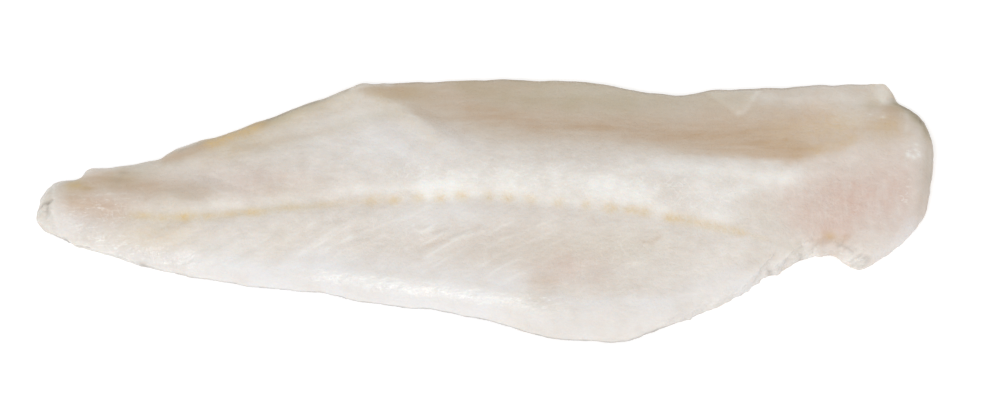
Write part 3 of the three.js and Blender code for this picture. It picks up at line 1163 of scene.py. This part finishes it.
@dataclass(frozen=True)
class Relief:
    """Fine relief of the cut flesh, in millimetres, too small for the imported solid."""

    swell: float = 0.3
    swell_size: Size = (17.0, 11.0, 11.0)
    fibre: float = 0.06
    fibre_size: Size = (5.0, 3.0, 1.0)
    tear: float = 0.3
    tear_size: Size = (2.2, 2.2, 2.2)
    tatter: float = 0.2
    flap_tatter: float = 0.5
    tail_tatter: float = 0.35
    tatter_size: Size = (2.6, 2.6, 2.6)
    # Creases fade out towards the rim, and splits run out over it.
    creases: tuple[Streak, ...] = (
        Streak(1, -0.2, ((-2.6, -13.3), (-6.6, -15), (-10.9, -16.4), (-15.8, -18.3), (-22.4, -20.1))),
        Streak(0.8, 0.15, ((-24, -14.4), (-18.5, -14.1))),
        Streak(0.8, 0.15, ((-2, -15.4), (-7.3, -16.7), (-11.9, -17.4))),
        Streak(0.8, -0.3, ((108.4, -16.4), (111.8, -15.3), (115.2, -15.1), (118, -15.3))),
        Streak(0.8, 0.4, ((110, -17.4), (115, -16.8), (119.5, -18.6), (122.5, -20.8))),
    )
    splits: tuple[Streak, ...] = (
        Streak(0.7, -0.6, ((-149.9, -0.8), (-148.8, 0.1), (-147.6, 0), (-146, 0.4))),
        Streak(0.7, -0.4, ((-147.2, -0.2), (-147.6, -2.3), (-146.9, -4.2))),
        Streak(0.6, -0.4, ((120.5, -21.2), (122.7, -20.3), (124.1, -19.5))),
        Streak(0.6, -0.4, ((121.2, -22.2), (123.4, -21.4), (125.7, -20))),
        Streak(0.6, -0.4, ((122.8, -22.8), (125.1, -22), (126.8, -20.2))),
    )
    # Swellings and notches of the outline.
    lumps: tuple[Patch, ...] = (
        Patch(-150.8, -3.8, 2.8, 2.8, 1.5),
        Patch(-147, -9.2, 2.2, 2.2, -0.6),
        Patch(149, -3.5, 4, 4, 1.1),
        Patch(-133.4, 12, 2, 2, 0.9),
        Patch(-139, 10.5, 2.6, 2.6, -0.5),
        Patch(-141.2, -11.4, 1.6, 1.6, -0.4),
        Patch(-137.5, -13.8, 2, 2, 0.5),
        Patch(93.7, -26.4, 1.4, 1.4, -0.7),
        Patch(104.4, -20.4, 1.2, 1.2, -0.5),
        Patch(122.5, -23.4, 2, 2, 0.4),
        Patch(-42, 43.5, 3, 3, 0.7),
        Patch(-36, 45.5, 3, 3, 0.8),
    )
    membranes: tuple[Membrane, ...] = (
        Membrane(((74.0, 42.0), (84.4, 30.6), (92.6, 42.5)), 0.3, 1.0),
        Membrane(((130.8, 50.5), (134.1, 38.6), (138.2, 45.5), (136.5, 50.5)), 0.4, 0.7),
    )

    def depth(self, skin: Skin, bone_line: BoneLine) -> np.ndarray:
        """Works out how far the skin moves.

        Args:
            skin: The refined skin.
            bone_line: The groove with its spots, which are sunk in too.

        Returns:
            Distances outwards, in millimetres.
        """
        x, y = skin.plan
        chevrons = np.stack([skin.flake, skin.off_bone, np.zeros(len(x))], 1)
        top = self.swell * clouds(skin.points, self.swell_size, 4)
        top += self.fibre * clouds(chevrons, self.fibre_size)
        top += sum(crease.share(x, y) for crease in self.creases)
        top -= bone_line.depth * sum(spot.share(x, y) for spot in bone_line.spots())
        top *= rise(skin.rim, 0.5, 4.0)
        top += sum(scrap.height * scrap.cover(skin) for scrap in self.membranes)
        top += sum(split.share(x, y) for split in self.splits)
        top += self.tear * self.torn(skin) * clouds(skin.points, self.tear_size)
        walls = self.tattered(skin) * clouds(skin.points, self.tatter_size)
        outline = rise(skin.tilt, 0.9, 0.6) * sum(lump.share(x, y) for lump in self.lumps)
        return top * rise(skin.tilt, 0.1, 0.6) + walls + outline

    def torn(self, skin: Skin) -> np.ndarray:
        """Gives where the upper face is torn: the tip of the tail, and the hook below the head end.

        Args:
            skin: The refined skin.

        Returns:
            1 where it is torn, falling to 0.
        """
        x, y = skin.plan
        hook = rise(x, 92.0, 104.0) * rise(x, 134.0, 126.0) * rise(y, -12.0, -16.0)
        return rise(x, -140.0, -146.0) + hook * rise(skin.rim, 5.0, 2.0)

    def tattered(self, skin: Skin) -> np.ndarray:
        """Gives how deep the walls are tattered, most at the front of the flap and at the tail.

        Args:
            skin: The refined skin.

        Returns:
            Depths in millimetres, 0 off the walls.
        """
        x, y = skin.plan
        flap = rise(x, 50.0, 65.0) * rise(x, 130.0, 122.0) * rise(y, -14.0, -18.0)
        tatters = self.tatter + self.flap_tatter * flap + self.tail_tatter * rise(x, -126.0, -140.0)
        return tatters * (rise(skin.tilt, 0.7, 0.2) * rise(skin.tilt, -0.7, -0.4))


@dataclass(frozen=True)
class Fillet:
    """The fillet's skin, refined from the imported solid, with its fine relief and its tones."""

    name: str = "hake_fillet"
    node: str = "fillet"
    body: str = "root"
    slot: str = "flesh"
    levels: int = 2
    weld: float = 0.001 * MM
    # Triangles are joined in pairs up to this bend and this skew.
    pair_bend: float = math.radians(40)
    pair_skew: float = math.radians(80)
    # The outline is read from walls above this height, with a normal's rise within a spread of this one.
    wall_above: float = 0.8
    wall_rise: float = 0.1
    wall_spread: float = 0.2
    bone_line: BoneLine = BoneLine()
    flakes: Flakes = Flakes()
    relief: Relief = Relief()
    marks: Marks = Marks()
    facet: Facet = Facet()
    edge: CutEdge = CutEdge()
    finish: WetFlesh = field(default_factory=WetFlesh)

    def build(self, nodes: Mapping[str, bpy.types.Object]) -> bpy.types.Object:
        """Makes the dressed skin.

        Args:
            nodes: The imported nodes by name.

        Returns:
            The fillet, which stands for its node.
        """
        mesh = self.refined_copy(nodes[self.node].data)
        skin = self.measure(mesh)
        self.model_relief(mesh, skin)
        self.paint(mesh, skin)
        self.lay_flake_map(mesh, skin)
        mesh.materials.append(self.finish.material())
        piece = bpy.data.objects.new(self.name, mesh)
        bpy.context.scene.collection.objects.link(piece)
        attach(piece, self.body)
        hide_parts(self.node)
        return piece

    def refined_copy(self, solid: bpy.types.Mesh) -> bpy.types.Mesh:
        """Copies the solid's skin, welds it, joins its triangles in pairs and subdivides it smoothly.

        Args:
            solid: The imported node's mesh, which is left alone.

        Returns:
            A fine mesh of the same form.
        """
        bm = bmesh.new()
        bm.from_mesh(solid)
        bmesh.ops.remove_doubles(bm, verts=bm.verts, dist=self.weld)
        bmesh.ops.join_triangles(
            bm, faces=bm.faces, angle_face_threshold=self.pair_bend, angle_shape_threshold=self.pair_skew
        )
        coarse = bpy.data.meshes.new("coarse_skin")
        bm.to_mesh(coarse)
        bm.free()
        holder = bpy.data.objects.new("coarse_skin", coarse)
        bpy.context.scene.collection.objects.link(holder)
        smoother = holder.modifiers.new("smoother", "SUBSURF")
        smoother.levels = smoother.render_levels = self.levels
        view = bpy.context.evaluated_depsgraph_get()
        fine = bpy.data.meshes.new_from_object(holder.evaluated_get(view))
        fine.name = "fillet_skin"
        bpy.data.objects.remove(holder)
        bpy.data.meshes.remove(coarse)
        fine.materials.clear()
        fine.shade_smooth()
        return fine

    def measure(self, mesh: bpy.types.Mesh) -> Skin:
        """Measures where each vertex lies.

        Args:
            mesh: The refined skin.

        Returns:
            The places in millimetres, with no tone yet.
        """
        count = len(mesh.vertices)
        points, normals = np.empty(count * 3), np.empty(count * 3)
        mesh.vertices.foreach_get("co", points)
        mesh.vertex_normals.foreach_get("vector", normals)
        points, normals = points.reshape(-1, 3) / MM, normals.reshape(-1, 3)
        upright = np.abs(normals[:, 2] - self.wall_rise) < self.wall_spread
        walls = points[upright & (points[:, 2] > self.wall_above)]
        tree = kdtree.KDTree(len(walls))
        for i, (x, y, _) in enumerate(walls):
            tree.insert((x, y, 0.0), i)
        tree.balance()
        rim = np.array([tree.find((x, y, 0.0))[2] for x, y, _ in points])
        off_bone = points[:, 1] - self.bone_line.across(points[:, 0])
        flake = self.flakes.coordinate(points[:, 0], off_bone)
        return Skin(points, normals, rim, off_bone, flake, self.marks.drift(points))

    def model_relief(self, mesh: bpy.types.Mesh, skin: Skin) -> None:
        """Moves the skin in and out by its fine relief, down to the floor at most.

        Args:
            mesh: The skin's mesh, which is changed.
            skin: Where its vertices lie.
        """
        depth = self.relief.depth(skin, self.bone_line)
        moved = (skin.points + depth[:, None] * skin.normals) * MM
        moved[:, 2] = np.maximum(moved[:, 2], 0.0)
        mesh.vertices.foreach_set("co", moved.ravel())
        mesh.update()

    def paint(self, mesh: bpy.types.Mesh, skin: Skin) -> None:
        """Stores the share of each tone at each vertex.

        Args:
            mesh: The skin's mesh, which gets one attribute for each tone.
            skin: Where its vertices lie, and their shares, which are changed.
        """
        self.marks.tint(skin, self.bone_line.spots())
        for scrap in self.relief.membranes:
            scrap.tint(skin)
        cut = self.facet.tint(skin)
        self.edge.tint(skin)
        self.flakes.tint(skin, cut)
        for tone, share in skin.shares.items():
            attribute = mesh.attributes.new(tone.value, "FLOAT", "POINT")
            attribute.data.foreach_set("value", np.clip(share, 0.0, 1.0).astype(np.float32))

    def lay_flake_map(self, mesh: bpy.types.Mesh, skin: Skin) -> None:
        """Lays a map of the flake coordinate and the distance from the bone line, in metres.

        Args:
            mesh: The skin's mesh, which gets the map.
            skin: Where its vertices lie.
        """
        corners = np.empty(len(mesh.loops), dtype=np.int32)
        mesh.loops.foreach_get("vertex_index", corners)
        flat = np.stack([skin.flake, skin.off_bone], 1) * MM
        layer = mesh.uv_layers.new(name=FLAKE_MAP)
        layer.uv.foreach_set("vector", flat[corners].astype(np.float32).ravel())


@dataclass(frozen=True)
class Studio:
    """A white floor, one soft lamp in front, even light all round and the camera.

    The lamp and the floor are in metres, and the camera's aim and distance in millimetres. The lens is
    given in pixels of the photo's width.
    """

    floor_size: float = 12.0
    paper: WhitePaper = WhitePaper()
    ambient: float = 0.7
    lamp_power: float = 6.5
    lamp_size: tuple[float, float] = (0.7, 0.45)
    lamp_distance: float = 1.3
    lamp_side: float = -8.0
    lamp_height: float = 55.0
    aim: tuple[float, float, float] = (4.0, -1.5, 8.0)
    camera_distance: float = 1100.0
    camera_height: float = 60.0
    focal_pixels: float = 3293.0
    photo_width: float = 1000.0
    sensor: float = 36.0

    def floor(self) -> bpy.types.Object:
        """Makes the floor.

        Returns:
            A flat sheet under the fillet.
        """
        bm = bmesh.new()
        bmesh.ops.create_grid(bm, x_segments=1, y_segments=1, size=self.floor_size / 2)
        mesh = bpy.data.meshes.new("floor")
        bm.to_mesh(mesh)
        bm.free()
        mesh.materials.append(self.paper.material())
        floor = bpy.data.objects.new("floor", mesh)
        bpy.context.scene.collection.objects.link(floor)
        return floor

    def light(self) -> bpy.types.Object:
        """Lights the fillet from the front, with even light from all round.

        Returns:
            The lamp.
        """
        world = bpy.data.worlds.new("studio")
        world.use_nodes = True
        background = world.node_tree.nodes["Background"]
        background.inputs["Strength"].default_value = self.ambient
        background.inputs["Color"].default_value = (1.0, 1.0, 1.0, 1.0)
        bpy.context.scene.world = world
        lamp = bpy.data.lights.new("softbox", "AREA")
        lamp.shape = "RECTANGLE"
        lamp.size, lamp.size_y = self.lamp_size
        lamp.energy = self.lamp_power
        softbox = bpy.data.objects.new("softbox", lamp)
        towards = self.direction(self.lamp_side, self.lamp_height)
        softbox.location = towards * self.lamp_distance
        softbox.rotation_euler = towards.to_track_quat("Z", "Y").to_euler()
        bpy.context.scene.collection.objects.link(softbox)
        return softbox

    def camera(self) -> bpy.types.Object:
        """Sets up the camera.

        Returns:
            The scene's camera.
        """
        data = bpy.data.cameras.new("camera")
        data.sensor_fit = "HORIZONTAL"
        data.sensor_width = self.sensor
        data.lens = self.focal_pixels * self.sensor / self.photo_width
        camera = bpy.data.objects.new("camera", data)
        towards = self.direction(0.0, self.camera_height)
        camera.location = (Vector(self.aim) + towards * self.camera_distance) * MM
        camera.rotation_euler = towards.to_track_quat("Z", "Y").to_euler()
        bpy.context.scene.collection.objects.link(camera)
        bpy.context.scene.camera = camera
        bpy.context.scene.view_settings.view_transform = "Standard"
        return camera

    @staticmethod
    def direction(side: float, height: float) -> Vector:
        """Points from the fillet to something in front of it.

        Args:
            side: Degrees to the right of straight in front.
            height: Degrees above the floor.

        Returns:
            A unit vector.
        """
        a, e = math.radians(side), math.radians(height)
        return Vector((math.sin(a) * math.cos(e), -math.cos(a) * math.cos(e), math.sin(e)))


def corners(box: Sequence[Vector]) -> list[list[float]]:
    """Turns a box's two corners into plain numbers."""
    return [list(corner) for corner in box]


def main() -> None:
    """Builds the studio and the fillet."""
    logging.basicConfig(level=logging.INFO, format="%(name)s: %(message)s")
    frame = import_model()
    studio = Studio()
    for made in (studio.camera(), studio.light(), studio.floor()):
        log.info("made the %s", made.name)
    piece = Fillet().build(frame["nodes"])
    log.info("made the %s with %d faces", piece.name, len(piece.data.polygons))


if __name__ == "__main__":
    main()
